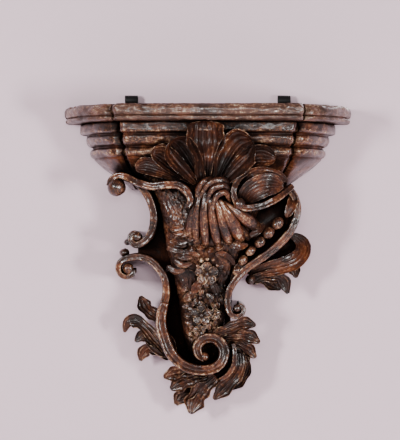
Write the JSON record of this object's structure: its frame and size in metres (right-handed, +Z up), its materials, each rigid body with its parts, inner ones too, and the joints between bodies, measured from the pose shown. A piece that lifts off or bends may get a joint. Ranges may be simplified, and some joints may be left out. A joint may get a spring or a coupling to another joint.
{
  "type": "carved wall bracket",
  "caption": "Carved wooden wall bracket with a breakfront shelf, moulded cornice, shell, scrolls and leaf carving, hung on iron straps.",
  "frame": {"origin": "on the back face of the carving, on its centre line, 30 mm below the underside of the shelf", "axes": "+Z up, +X to the viewer's right, +Y into the wall, so the bracket stands out along -Y"},
  "size_m": [0.4396, 0.1748, 0.4874],
  "materials": {
    "shelf_wood": "worn wax over stained wood, pale on the edges",
    "carved_wood": "dark stained and waxed, rubbed on the high carving",
    "iron": "blackened forged iron"
  },
  "bodies": {
    "root": {"shelf_board": "shelf_wood", "carved_bracket": "carved_wood", "hanger_left": "iron", "hanger_right": "iron"}
  },
  "joints": []
}
